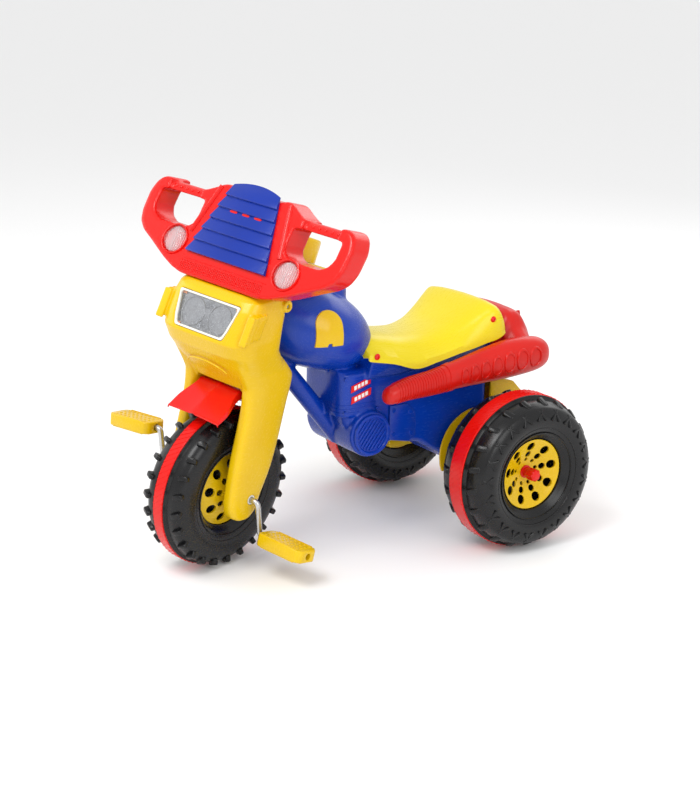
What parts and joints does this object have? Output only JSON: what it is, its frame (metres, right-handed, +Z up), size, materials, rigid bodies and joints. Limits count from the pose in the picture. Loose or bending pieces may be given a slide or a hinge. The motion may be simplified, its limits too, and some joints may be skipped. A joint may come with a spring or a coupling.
{
  "type": "tricycle",
  "caption": "Child's pedal tricycle styled as a toy motorbike, with a front wheel that steers and pedals, moulded hand grips and a low saddle.",
  "frame": {"origin": "on the floor, under the middle of the object", "axes": "+Z up, -Y towards the front wheel, +X to the left-hand side of a seated rider"},
  "size_m": [0.464, 0.6955, 0.5826],
  "materials": {
    "yellow_plastic": "glossy injection-moulded yellow polypropylene",
    "red_plastic": "glossy injection-moulded red polypropylene",
    "blue_plastic": "glossy blow-moulded blue polyethylene",
    "black_plastic": "glossy blow-moulded black polyethylene",
    "bush_plastic": "plain natural nylon",
    "zinc_steel": "bright zinc plated",
    "chrome_film": "metallised reflector",
    "clear_lens": "clear moulded polystyrene"
  },
  "bodies": {
    "body": {"axle_carrier": "yellow_plastic", "axle_spacer_left": "black_plastic", "axle_spacer_right": "black_plastic", "body_shell": "blue_plastic", "head_bush_lower": "bush_plastic", "head_bush_upper": "bush_plastic", "hub_cap_left": "red_plastic", "hub_cap_right": "red_plastic", "rear_axle": "zinc_steel", "rear_bush_left": "bush_plastic", "rear_bush_right": "bush_plastic", "rear_washer_left": "zinc_steel", "rear_washer_right": "zinc_steel", "seat": "yellow_plastic", "seat_rivet_front_left": "red_plastic", "seat_rivet_front_right": "red_plastic", "seat_rivet_rear_left": "red_plastic", "seat_rivet_rear_right": "red_plastic", "tail_cowl": "red_plastic", "tank_plate_left": "yellow_plastic", "tank_plate_right": "yellow_plastic"},
    "front": {"fork": "yellow_plastic", "fork_bush_left": "bush_plastic", "fork_bush_right": "bush_plastic", "lamp_reflector": "chrome_film", "lamp_lens": "clear_lens", "fender": "red_plastic", "handlebar": "red_plastic", "bar_lens_left": "clear_lens", "bar_lens_right": "clear_lens", "bar_screw_left": "zinc_steel", "bar_screw_right": "zinc_steel", "shield": "blue_plastic", "steering_bolt": "zinc_steel", "steering_nut": "zinc_steel", "column_cap": "yellow_plastic"},
    "front_wheel": {"front_tyre": "black_plastic", "front_band": "red_plastic", "front_disc_left": "yellow_plastic", "front_disc_right": "yellow_plastic", "crank_axle": "zinc_steel"},
    "pedal_left": {"pedal_left": "yellow_plastic"},
    "pedal_right": {"pedal_right": "yellow_plastic"},
    "rear_wheel_left": {"rear_tyre_left": "black_plastic", "rear_band_left": "red_plastic", "rear_disc_outer_left": "yellow_plastic", "rear_disc_inner_left": "yellow_plastic"},
    "rear_wheel_right": {"rear_tyre_right": "black_plastic", "rear_band_right": "red_plastic", "rear_disc_outer_right": "yellow_plastic", "rear_disc_inner_right": "yellow_plastic"}
  },
  "joints": [
    {"name": "steer", "type": "hinge", "parent": "body", "child": "front", "pos_m": [0, -0.223, 0.12532], "axis": [0, 0.342, 0.9397], "range_deg": [-45, 10.4]},
    {"name": "front_wheel_spin", "type": "hinge", "parent": "front", "child": "front_wheel", "pos_m": [0, -0.223, 0.12532], "axis": [0.9548, 0.2794, -0.1017], "continuous": true},
    {"name": "pedal_left_spin", "type": "hinge", "parent": "front_wheel", "child": "pedal_left", "pos_m": [0.07376, -0.19061, 0.06112], "axis": [0.9548, 0.2794, -0.1017], "continuous": true},
    {"name": "pedal_right_spin", "type": "hinge", "parent": "front_wheel", "child": "pedal_right", "pos_m": [-0.1024, -0.26377, 0.19257], "axis": [-0.9602, -0.2794, -0.0028], "continuous": true},
    {"name": "rear_wheel_left_spin", "type": "hinge", "parent": "body", "child": "rear_wheel_left", "pos_m": [0.177, 0.223, 0.125], "axis": [1, 0, 0], "continuous": true},
    {"name": "rear_wheel_right_spin", "type": "hinge", "parent": "body", "child": "rear_wheel_right", "pos_m": [-0.177, 0.223, 0.125], "axis": [1, 0, 0], "continuous": true}
  ]
}
